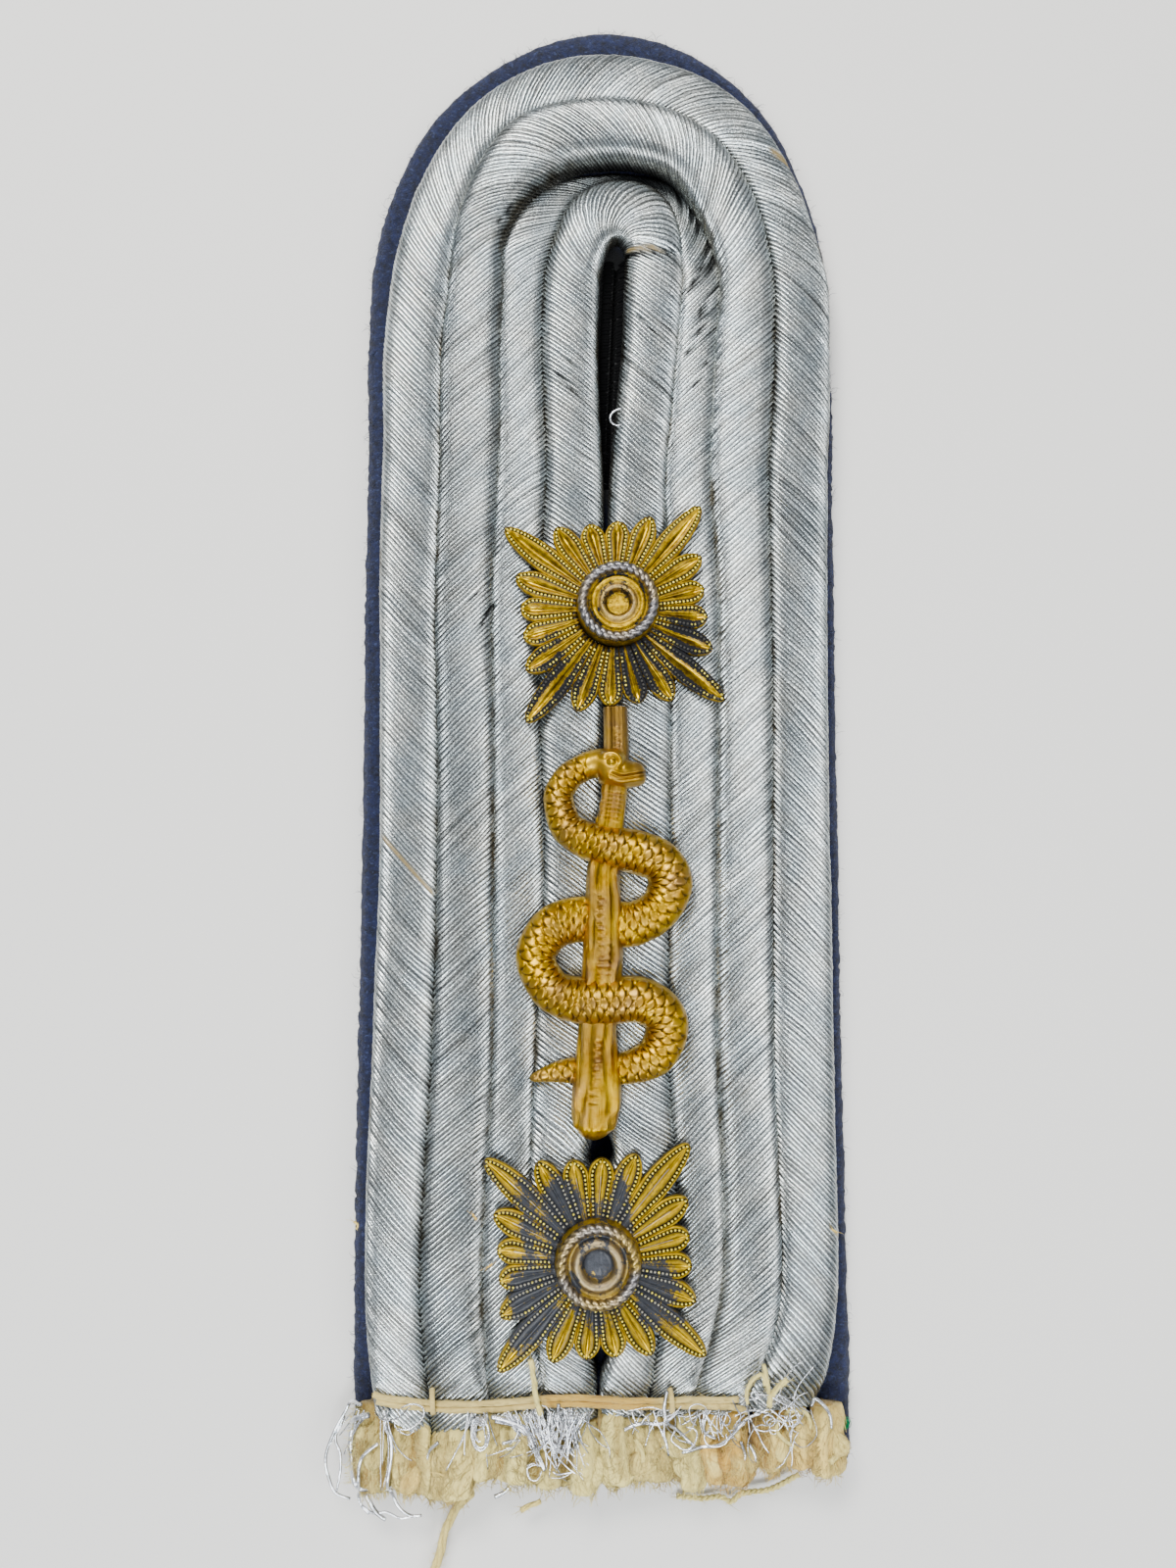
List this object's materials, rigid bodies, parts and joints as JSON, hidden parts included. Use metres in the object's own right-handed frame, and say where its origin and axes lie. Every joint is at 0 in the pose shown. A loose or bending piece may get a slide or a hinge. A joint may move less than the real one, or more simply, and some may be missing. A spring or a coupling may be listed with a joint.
{
  "type": "shoulder board",
  "caption": "Sew-in shoulder board: silver double cords bent into nested U shapes on blue wool, with star pips, a serpent staff and a buttonhole slit.",
  "frame": {"origin": "middle of the flat wool back that the board rests on", "axes": "+X to the board's right seen from its face, +Y towards its round end, +Z out of its face"},
  "size_m": [0.044, 0.1369, 0.0086],
  "materials": {
    "wool": "navy blue wool cloth with a fuzzy cut edge",
    "silver_thread": "satin silver metal thread wound over cotton cord, darker in the grooves",
    "gilt": "bright gilding with dark patina in the recesses",
    "worn_gilt": "gilding worn to grey metal, left at the edges",
    "golden_brass": "golden brass, browner on the raised tops",
    "cotton": "matt cream cotton, frayed"
  },
  "bodies": {
    "root": {"wool_underlay": "wool", "outer_braid": "silver_thread", "inner_braid": "silver_thread", "upper_pip": "gilt", "lower_pip": "worn_gilt", "serpent_staff": "golden_brass", "cotton_ends": "cotton"}
  },
  "joints": []
}
